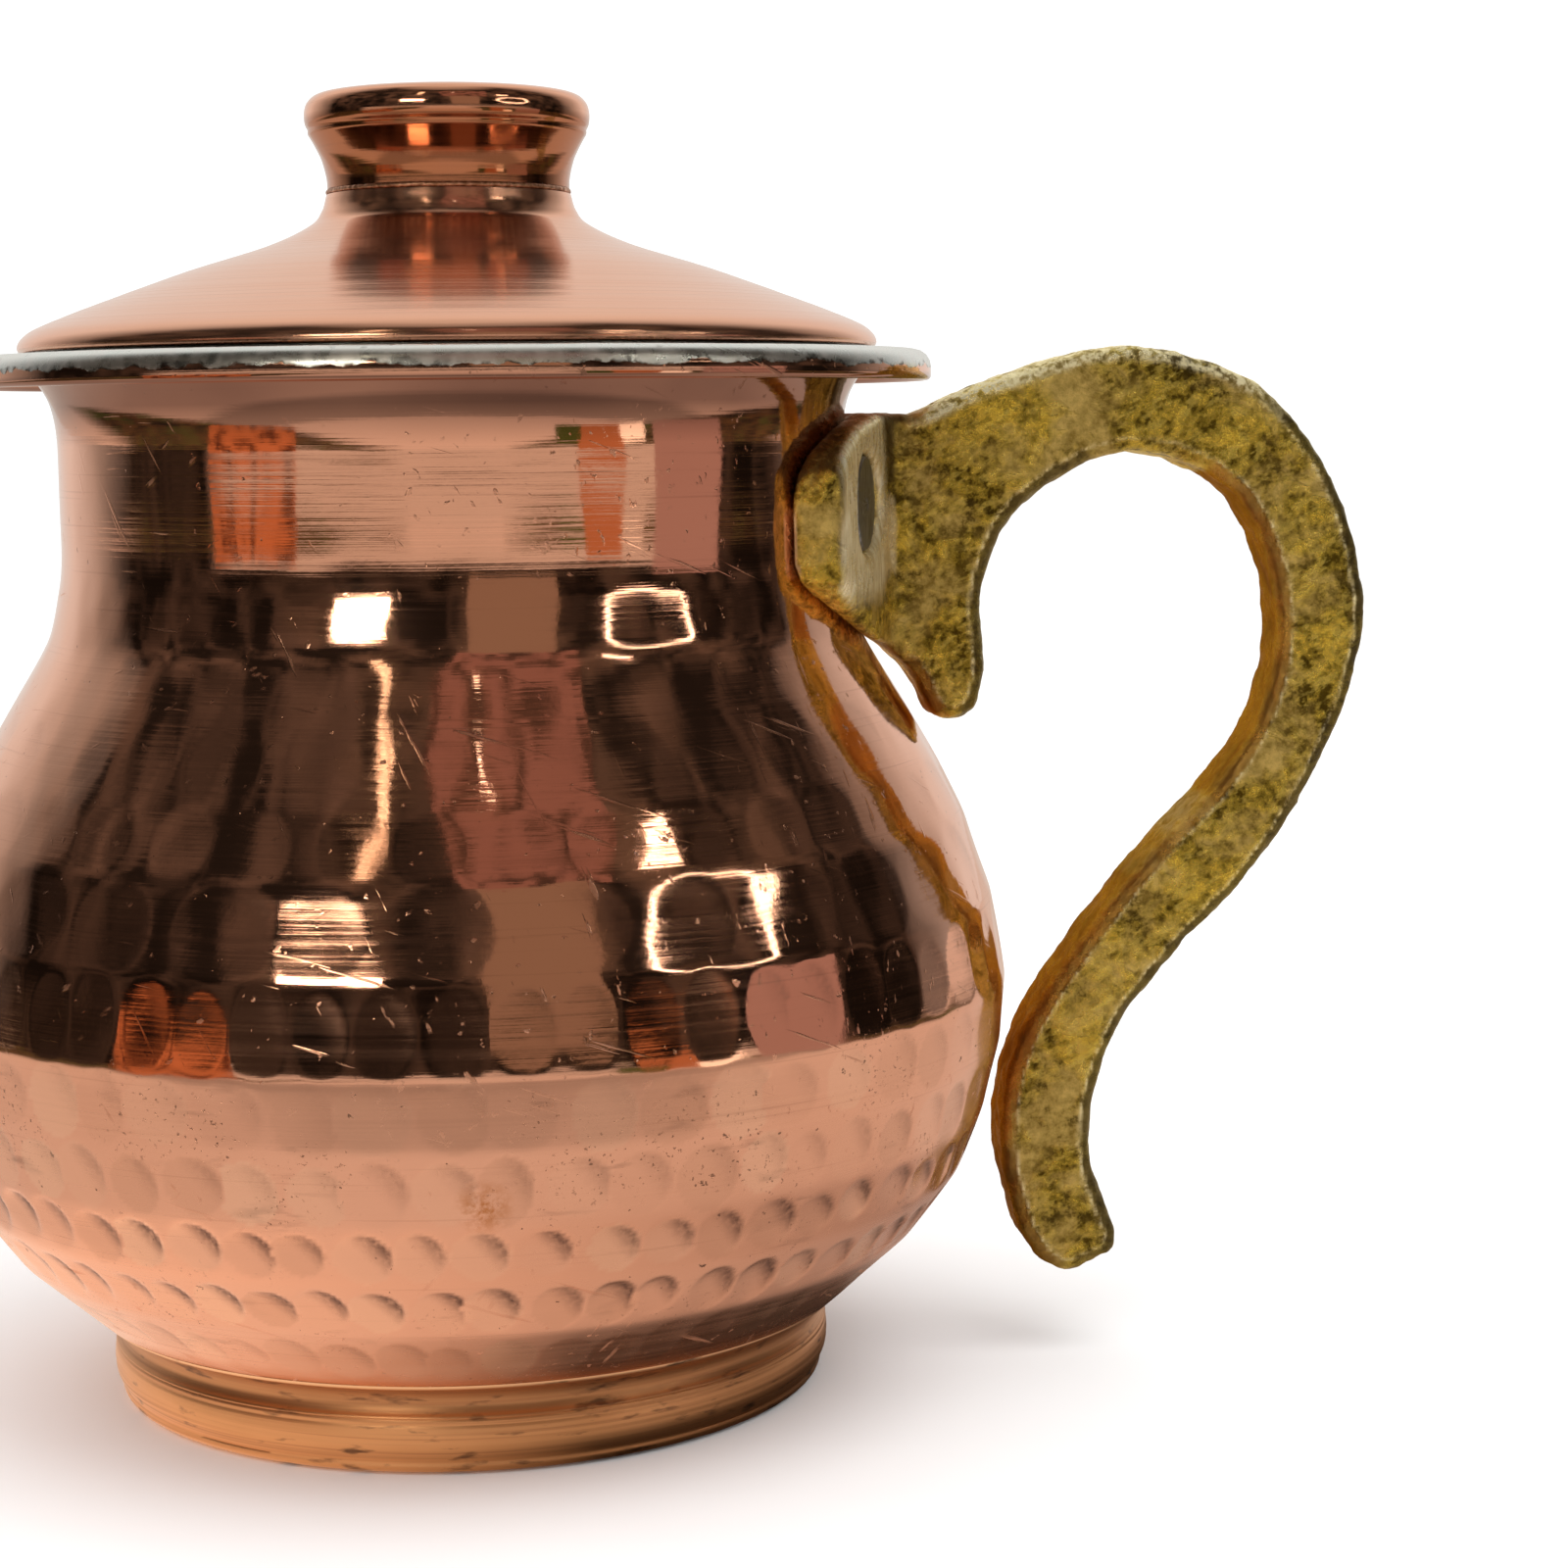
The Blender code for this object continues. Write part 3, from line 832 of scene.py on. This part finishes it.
def turned_copper():
    """The foot: duller orange copper with turning lines, dark dirt, painted shade in its groove and a
    painted highlight on its bead.
    """
    s = Shader("foot_turned")
    lines = s.noise((18, 18, 2600), 4)
    patches = s.noise((70, 70, 260), 4)
    height = s.height()
    color = s.mix(patches, (0.86, 0.45, 0.22), (0.68, 0.34, 0.15))
    # Painted highlight along the bead at the top of the foot
    bead = s.level(height, 0.0100, 0.0106)
    color = s.mix(bead, color, (1.0, 0.62, 0.36))
    # Painted shade in the groove under the bead
    groove = s.both(s.level(height, 0.0062, 0.0074), s.level(height, 0.0102, 0.0094))
    color = s.mix(s.both(groove, 0.45), color, (0.36, 0.17, 0.08))
    color = s.mix(s.level(lines, 0.50, 0.72, 0, 0.5), color, (0.34, 0.15, 0.08))
    dirt_and_shade = s.both(s.level(s.noise((160, 160, 700), 5), 0.60, 0.70), 0.8)
    color = s.mix(dirt_and_shade, color, (0.10, 0.055, 0.04))
    rough = s.level(lines, 0.3, 0.7, 0.34, 0.48)
    color, rough = s.tin_over(color, rough, 0.3)
    normal = s.bump(s.noise(800, 3), 0.015, s.bump(lines, 0.020))
    s.set(Base_Color=color, Roughness=rough, Normal=normal)
    s.brushed_round(0.4)
    return s.material


def spun_lid_copper():
    """The lid's shell: brushed in circles, paler, tinned underneath."""
    s = Shader("lid_spun")
    x, y, _ = s.axes()
    radius = s.math("SQRT", s.math("ADD", s.both(x, x), s.both(y, y)))
    rings_at = s.add("ShaderNodeCombineXYZ", {"X": s.both(radius, 2600)}).outputs[0]
    rings = s.add("ShaderNodeTexNoise", {"Vector": rings_at, "Scale": 1.0, "Detail": 4.0}).outputs[0]
    broad = s.noise(45, 3)
    color = s.mix(broad, (0.92, 0.52, 0.36), (0.87, 0.45, 0.30))
    color = s.mix(s.level(rings, 0.55, 0.75, 0, 0.3), color, (0.50, 0.25, 0.16))
    rough = s.level(rings, 0.3, 0.75, 0.10, 0.26)
    color, rough = s.tin_over(color, rough, 0.3)
    normal = s.bump(s.noise(700, 3), 0.004, s.bump(rings, 0.012))
    s.set(Base_Color=color, Roughness=rough, Normal=normal)
    s.brushed_round(0.6)
    return s.material


def knob_copper():
    """The knob: spun and polished, with painted shade under its band."""
    s = Shader("knob_spun")
    lines = s.noise((40, 40, 2800), 4)
    color = s.mix(s.noise(150, 3), (0.92, 0.48, 0.32), (0.86, 0.42, 0.26))
    # Painted shade on the waist under the band
    waist = s.level(s.height(), 0.1500, 0.1492)
    color = s.mix(s.both(waist, 0.85), color, (0.44, 0.16, 0.07))
    color = s.mix(s.level(lines, 0.60, 0.78, 0, 0.4), color, (0.40, 0.18, 0.10))
    rough = s.level(lines, 0.35, 0.8, 0.06, 0.18)
    normal = s.bump(s.noise(1200, 3), 0.003, s.bump(lines, 0.010))
    s.set(Base_Color=color, Roughness=rough, Normal=normal)
    s.brushed_round(0.4)
    return s.material


def grainy_joint(name, bright, dark):
    """Solder or braze: a granular bead."""
    s = Shader(name)
    grain = s.noise(1500, 4)
    color = s.mix(s.level(grain, 0.35, 0.65), dark, bright)
    normal = s.bump(grain, 0.12)
    s.set(Base_Color=color, Roughness=s.level(grain, 0.3, 0.7, 0.5, 0.3), Normal=normal)
    return s.material


def wiped_tin():
    """The collar's tin, wiped on by hand, with copper showing through in places."""
    s = Shader("wiped_tin")
    mottle = s.noise(420, 4)
    drawn = s.noise((90, 90, 900), 4)
    color = s.mix(mottle, (0.38, 0.38, 0.35), (0.64, 0.64, 0.60))
    color = s.mix(s.level(s.noise(60, 3), 0.58, 0.72, 0, 0.4), color, (0.50, 0.36, 0.27))
    normal = s.bump(mottle, 0.015, s.bump(drawn, 0.015))
    s.set(Base_Color=color, Roughness=s.level(mottle, 0.3, 0.7, 0.24, 0.42), Normal=normal)
    return s.material


def cast_brass():
    """The handle: rough olive-gold casting skin, its edges worn bright with a painted highlight, filed
    cream by the pad.

    The side that faces the pot is smoother and darkened to amber, a painted reflection of the copper.
    """
    s = Shader("handle_brass")
    skin, filed = s.attribute("skin"), s.attribute("filed")
    copper_reflection, bright, dark = s.attribute("copper_reflection"), s.attribute("bright"), s.attribute("dark")
    grain = s.noise(760, 8, rough=0.70)
    patch = s.noise((120, 120, 150), 5, warp=0.4, rough=0.6)
    worn = s.math("ADD", s.level(grain, 0.30, 0.70), s.level(skin, 0.2, 0.8, -0.35, 0.35))
    gold = s.mix(s.level(worn, 0.20, 0.80), (0.13, 0.088, 0.010), (0.92, 0.69, 0.10))
    # Painted glints: bright yellow flakes over the gold
    glint_flakes = s.level(s.noise((430, 430, 1000), 4, turn=(0.3, 0.5, 0.2), rough=0.6), 0.52, 0.60)
    gold = s.mix(s.both(glint_flakes, 0.6), gold, (1.0, 0.80, 0.17))
    smooth = s.mix(s.level(worn, 0.1, 0.9), (0.36, 0.255, 0.058), (0.76, 0.58, 0.18))
    dull = s.level(patch, 0.46, 0.60)
    color = s.mix(dull, gold, smooth)
    crevice = s.both(s.level(worn, 0.34, 0.08), s.level(s.noise(190, 4), 0.44, 0.62))
    color = s.mix(s.both(crevice, 0.75), color, (0.045, 0.030, 0.008))
    # Painted shade on the bar's outer sides
    color = s.mix(s.both(dark, 0.8), color, (0.09, 0.07, 0.03))
    glint = s.both(bright, s.level(grain, 0.42, 0.54, 0.1, 1.0))
    color = s.mix(glint, color, (1.0, 0.90, 0.55))
    # Painted reflection of the copper: amber on the side of the bar that faces the pot
    brown = s.mix(s.level(patch, 0.35, 0.65), (0.60, 0.33, 0.07), (0.30, 0.17, 0.045))
    color = s.mix(s.both(copper_reflection, 0.9), color, brown)
    strokes = s.noise((260, 1700, 260), 4, turn=(0, 0, 0.36))
    cream = s.mix(s.level(strokes, 0.35, 0.65), (0.66, 0.52, 0.25), (1.0, 0.93, 0.68))
    pad = s.attribute("pad")
    # Painted dark reflection on the upper part of the pad's front, and a pale patch below it
    up = s.math("ADD", s.height(), s.level(patch, 0.3, 0.7, -0.002, 0.002))
    color = s.mix(s.both(pad, s.level(up, 0.1045, 0.1065), 0.85), color, (0.10, 0.07, 0.03))
    pale = s.both(pad, s.level(up, 0.1050, 0.1035), s.level(up, 0.0955, 0.0975))
    color = s.mix(s.both(pale, 0.85), color, (1.0, 0.90, 0.60))
    color = s.mix(filed, color, cream)
    rough = s.math("ADD", s.level(worn, 0.1, 0.9, 0.36, 0.18), s.both(dull, 0.14))
    coarse = s.level(dull, 0, 1, 1.0, 0.40)
    calm = s.both(s.less(s.both(filed, 0.8)), s.less(s.both(copper_reflection, 0.6)), coarse)
    normal = s.bump(s.both(grain, calm), 0.60)
    normal = s.bump(s.both(s.noise(2400, 6, rough=0.7), calm), 0.12, normal)
    normal = s.bump(s.both(strokes, filed), 0.08, normal)
    # Reflections on the side facing the pot are tinted amber, standing for the copper they mirror
    tint = s.mix(copper_reflection, (1.0, 0.93, 0.75), (0.45, 0.25, 0.10))
    metal = s.level(s.most(glint, s.both(filed, 0.5)), 0, 1, 0.97, 0.72)
    s.set(Base_Color=color, Metallic=metal, Roughness=rough, Normal=normal, Specular_Tint=tint)
    return s.material


def ground_steel():
    """The rivets: dark steel with grinding lines."""
    s = Shader("rivet_ground")
    lines = s.noise((300, 2200, 300), 4, turn=(0, 0, 0.36))
    color = s.mix(s.level(lines, 0.35, 0.65), (0.12, 0.125, 0.13), (0.31, 0.32, 0.34))
    s.set(Base_Color=color, Roughness=0.42, Normal=s.bump(lines, 0.06))
    return s.material


# ---------------------------------------------------------------- studio

# All in metres
EYE_HEIGHT = 0.09        # middle of the pot, which the studio's angles are counted from
ROOM = 2.0               # radius of the reflected room
CARD_DISTANCE = 1.45
POST_DISTANCE = 0.55
FLOOR_RADIUS = 30
FOOT_MIDDLE = (0.006, 0.002, 0)       # middle of the painted shadow ring that the table shows round the foot
TABLE_FRONT = 0.34       # how far the painted shadow on the mirrored table reaches towards the camera
TABLE_SIDE = 0.45        # where the dim things at the mirrored table's sides begin
KEY_PLACE = (0.5, -0.5, 1.5)
CAMERA_PLACE = (0, -0.3796, 0.11457)

BLACK = (0.0, 0.0, 0.0)


def only_reflected(obj):
    """Something that the metal mirrors but that the camera and the floor's light don't see."""
    obj.visible_camera = False
    obj.visible_diffuse = False
    obj.visible_shadow = False
    obj.visible_transmission = False


def direction(azimuth, elevation=0.0):
    """Unit vector at an azimuth counted from the camera's side towards the handle, in degrees."""
    a, e = math.radians(azimuth), math.radians(elevation)
    return Vector((math.sin(a) * math.cos(e), -math.cos(a) * math.cos(e), math.sin(e)))


def object_from(bm, name, material):
    """Turns the bmesh into an object with this material, and frees it."""
    mesh = bpy.data.meshes.new(name)
    bm.to_mesh(mesh)
    bm.free()
    mesh.materials.append(material)
    return add_object(name, mesh)


def disc(name, radius, height, material):
    """A round sheet lying at this height in metres."""
    bm = bmesh.new()
    bmesh.ops.create_circle(bm, cap_ends=True, segments=96, radius=radius)
    obj = object_from(bm, name, material)
    obj.location.z = height
    return obj


def panel(name, place, half_wide, half_high, material, ring=0.0):
    """A card standing at a place in metres and facing the pot.

    ring is the hole of a ring lamp, as a share of the card's size.
    """
    bm = bmesh.new()
    if ring:
        outer = bmesh.ops.create_circle(bm, segments=64, radius=1.0)["verts"]
        inner = bmesh.ops.create_circle(bm, segments=64, radius=ring)["verts"]
        edges = list({edge for vert in outer + inner for edge in vert.link_edges})
        bmesh.ops.bridge_loops(bm, edges=edges)
    else:
        bmesh.ops.create_grid(bm, x_segments=1, y_segments=1, size=1.0)
    bmesh.ops.scale(bm, vec=(half_wide, half_high, 1), verts=bm.verts)
    obj = object_from(bm, name, material)
    obj.location = place
    obj.rotation_mode = "QUATERNION"
    obj.rotation_quaternion = (place - Vector((0, 0, EYE_HEIGHT))).to_track_quat("-Z", "Y")
    only_reflected(obj)


def card(name, azimuth, elevation, wide, high, material, ring=0.0):
    """A panel placed and sized in degrees as the pot sees it."""
    place = Vector((0, 0, EYE_HEIGHT)) + direction(azimuth, elevation) * CARD_DISTANCE
    half_wide = CARD_DISTANCE * math.tan(math.radians(wide / 2))
    half_high = CARD_DISTANCE * math.tan(math.radians(high / 2))
    panel(name, place, half_wide, half_high, material, ring)


def post(name, azimuth, half_wide, high, material):
    """A panel standing on the table."""
    place = direction(azimuth) * POST_DISTANCE + Vector((0, 0, high / 2))
    panel(name, place, half_wide, high / 2, material)


def emitting(shader, color, strength=1.0):
    """Makes the material glow in this colour instead of reflecting."""
    light = shader.add("ShaderNodeEmission", {"Color": color, "Strength": strength})
    output = shader.tree.nodes["Material Output"]
    shader.tree.links.new(light.outputs[0], output.inputs["Surface"])
    return shader.material


def glow(name, color, strength):
    """A material that glows evenly."""
    return emitting(Shader(name), color, strength)


def patchy_glow(name, light, dark, scale=(7, 7, 7)):
    """A card's glow broken into patches, as of things standing in a room."""
    s = Shader(name)
    patches = s.noise(scale, 3)
    return emitting(s, s.mix(s.level(patches, 0.42, 0.52), dark, light))


def room_material():
    """Dim brown room on the camera's side, pale behind the pot, with a pale strip at the horizon."""
    s = Shader("room_light")
    x, y, z = s.axes()
    azimuth = s.math("ABSOLUTE", s.math("ARCTAN2", x, s.both(y, -1.0)))
    rise = s.math("DIVIDE", z, ROOM)
    patches = s.noise(3.2, 5)
    dim = s.mix(s.level(patches, 0.42, 0.66), (0.015, 0.013, 0.011), (0.13, 0.10, 0.078))
    dim = s.mix(s.level(rise, 0.42, 0.26, 0, 0.5), dim, BLACK)
    behind = s.level(azimuth, math.radians(104), math.radians(142))
    pale = s.mix(s.level(rise, 0.0, 0.9), (0.80, 0.77, 0.73), (0.84, 0.81, 0.76))
    color = s.mix(behind, dim, pale)
    color = s.mix(s.level(rise, 0.94, 0.99, 0, 0.7), color, (0.60, 0.56, 0.50))
    strip = s.both(s.level(rise, 0.080, 0.070), s.level(azimuth, math.radians(74), math.radians(66)))
    color = s.mix(strip, color, (0.63, 0.56, 0.49))
    return emitting(s, color)


def make_room():
    """The dome that the metal mirrors, from the table's height up."""
    bm = bmesh.new()
    bmesh.ops.create_uvsphere(bm, u_segments=64, v_segments=32, radius=ROOM)
    below = [vert for vert in bm.verts if vert.co.z < -0.01]
    bmesh.ops.delete(bm, geom=below, context="VERTS")
    only_reflected(object_from(bm, "room", room_material()))


def table_material():
    """The table as the metal mirrors it: pale, with painted shadow round the foot and towards the
    camera, and dim things at its sides.
    """
    s = Shader("table_reflected")
    x, y, _ = s.axes()
    towards = s.both(y, -1.0)
    aside = s.math("ABSOLUTE", x)
    from_foot = s.distance(FOOT_MIDDLE)
    # Painted contact shadow round the foot, with painted light to its left and painted shadow to its
    # right
    foot_shadow = s.level(from_foot, 0.044, 0.056)
    by_foot = s.mix(s.level(x, -0.036, 0.014), (1.10, 0.75, 0.53), (0.03, 0.02, 0.014))
    nearby = s.mix(s.level(x, -0.075, 0.075), (1.15, 0.93, 0.76), (0.42, 0.34, 0.29))
    near = s.level(from_foot, 0.105, 0.075)
    color = s.mix(foot_shadow, by_foot, s.mix(near, (0.72, 0.62, 0.54), nearby))
    # Painted shadow across the table between the pot and the camera
    front_shadow = s.both(s.level(towards, 0.125, 0.170), s.level(towards, TABLE_FRONT + 0.02, TABLE_FRONT))
    color = s.mix(s.both(front_shadow, 0.45), color, BLACK)
    things = s.add("ShaderNodeTexNoise", {"Vector": s.where(), "Scale": 9.0, "Detail": 1.0})
    dim = s.mix(s.level(things.outputs[0], 0.40, 0.60), (0.03, 0.025, 0.02), (0.14, 0.09, 0.045))
    channels = s.add("ShaderNodeSeparateColor", {0: things.outputs["Color"]}).outputs
    green = s.level(channels[1], 0.56, 0.62)
    dim = s.mix(s.both(green, 0.7), dim, (0.10, 0.13, 0.04))
    past_side = s.both(s.level(aside, TABLE_SIDE, TABLE_SIDE + 0.05), s.level(towards, -0.6, -0.3))
    color = s.mix(past_side, color, dim)
    return emitting(s, color)


def make_table():
    only_reflected(disc("table", ROOM, -0.1 * MM, table_material()))


def make_floor():
    """The plain pale floor that the camera sees. The metal mirrors the table instead."""
    s = Shader("studio_floor", metallic=0.0)
    grain = s.noise(30, 3)
    s.set(Base_Color=s.mix(grain, (0.90, 0.90, 0.90), (0.93, 0.93, 0.93)), Roughness=0.9)
    s.surface.inputs["Specular IOR Level"].default_value = 0.1
    floor = disc("floor", FLOOR_RADIUS, -0.3 * MM, s.material)
    floor.visible_glossy = False


def make_lamps():
    """The lamps that the metal mirrors, at (azimuth, elevation, width, height) in degrees."""
    lamp = glow("lamp_glow", (1.0, 0.90, 0.74), 9)
    card("window_lamp", -28, 19, 18, 7.5, lamp)
    blotches = patchy_glow("tall_glow", (2.7, 2.3, 1.7), (0.28, 0.20, 0.13), (20, 20, 20))
    card("tall_lamp", -25, 47, 3.4, 15, blotches)
    card("small_lamp", 50, 38, 9, 1.4, lamp)
    card("spark_lamp", 6, 52, 1.5, 0.8, lamp)
    card("ring_lamp", 55, 20, 27, 17, glow("ring_glow", (1.0, 0.93, 0.80), 5), ring=0.88)


def make_panels():
    """The dim coloured things that the metal mirrors, hung up or standing on the table."""
    card("cream_panel", 15, 19, 22, 28, glow("cream_glow", (0.34, 0.25, 0.18), 0.8))
    brown = patchy_glow("brown_glow", (0.27, 0.15, 0.12), (0.07, 0.045, 0.035))
    card("brown_panel", 16, 47, 31, 29, brown)
    post("orange_post", 40, 0.06, 0.10, glow("orange_glow", (0.85, 0.34, 0.15), 0.55))
    post("green_bottle", 31, 0.035, 0.07, glow("green_glow", (0.07, 0.10, 0.025), 1.0))
    post("white_jar", 49, 0.035, 0.068, glow("jar_glow", (1.0, 0.93, 0.80), 1.6))
    post("pink_cloth", 67, 0.11, 0.13, glow("cloth_glow", (0.40, 0.27, 0.24), 1.0))
    striped = patchy_glow("curtain_glow", (0.55, 0.20, 0.08), (0.10, 0.035, 0.02), (24, 24, 2))
    post("orange_curtain", -57, 0.13, 0.10, striped)


def make_key():
    """The soft lamp above the camera, which casts the shadow on the floor."""
    light = bpy.data.lights.new("soft_key", "AREA")
    light.size = 1.2
    light.energy = 9
    lamp = add_object("soft_key", light)
    lamp.location = KEY_PLACE
    lamp.rotation_mode = "QUATERNION"
    lamp.rotation_quaternion = Vector(KEY_PLACE).to_track_quat("Z", "Y")
    lamp.visible_glossy = False


def make_world():
    """Even white light from all round."""
    world = bpy.data.worlds.new("pale_studio")
    world.use_nodes = True
    background = world.node_tree.nodes["Background"]
    background.inputs["Color"].default_value = (1, 1, 1, 1)
    background.inputs["Strength"].default_value = 1.2
    bpy.context.scene.world = world
    bpy.context.scene.view_settings.view_transform = "Standard"


def make_camera():
    """Eye level with the neck, looking slightly down, with the pot left of the middle."""
    data = bpy.data.cameras.new("camera")
    data.sensor_width = 36
    data.lens = 72.65
    data.clip_start, data.clip_end = 0.01, 2 * FLOOR_RADIUS
    camera = add_object("camera", data)
    turn = (Matrix.Rotation(math.radians(-5.84), 4, "Z") @ Matrix.Rotation(math.radians(-6.62), 4, "X")
            @ Matrix.Rotation(math.radians(0.63), 4, "Y") @ Matrix.Rotation(math.radians(90), 4, "X"))
    camera.matrix_world = Matrix.Translation(CAMERA_PLACE) @ turn
    bpy.context.scene.camera = camera


# ---------------------------------------------------------------- assembly

def build_pot():
    solder = grainy_joint("foot_seam", (0.62, 0.58, 0.52), (0.35, 0.31, 0.27))
    steel = ground_steel()
    finish_piece(make_pot_body(), "pot", "pot_body", polished_copper())
    finish_piece(make_foot(), "pot", "foot_base", turned_copper())
    finish_piece(make_foot_solder(), "pot", "foot_solder", solder)
    finish_piece(make_handle(), "pot", "handle", cast_brass())
    for label, side in (("front", -1), ("back", 1)):
        finish_piece(make_rivet(label, side), "pot", f"handle_rivet_{label}", steel)


def build_lid():
    joint = grainy_joint("knob_braze", (0.82, 0.46, 0.30), (0.34, 0.16, 0.09))
    finish_piece(make_lid_shell(), "lid", "lid_shell", spun_lid_copper())
    finish_piece(make_lid_collar(), "lid", "lid_collar", wiped_tin())
    finish_piece(make_knob_solder(), "lid", "knob_solder", joint)
    finish_piece(make_lid_knob(), "lid", "lid_knob", knob_copper())


def build_studio():
    make_world()
    make_floor()
    make_room()
    make_table()
    make_lamps()
    make_panels()
    make_key()
    make_camera()


build_pot()
build_lid()
build_studio()
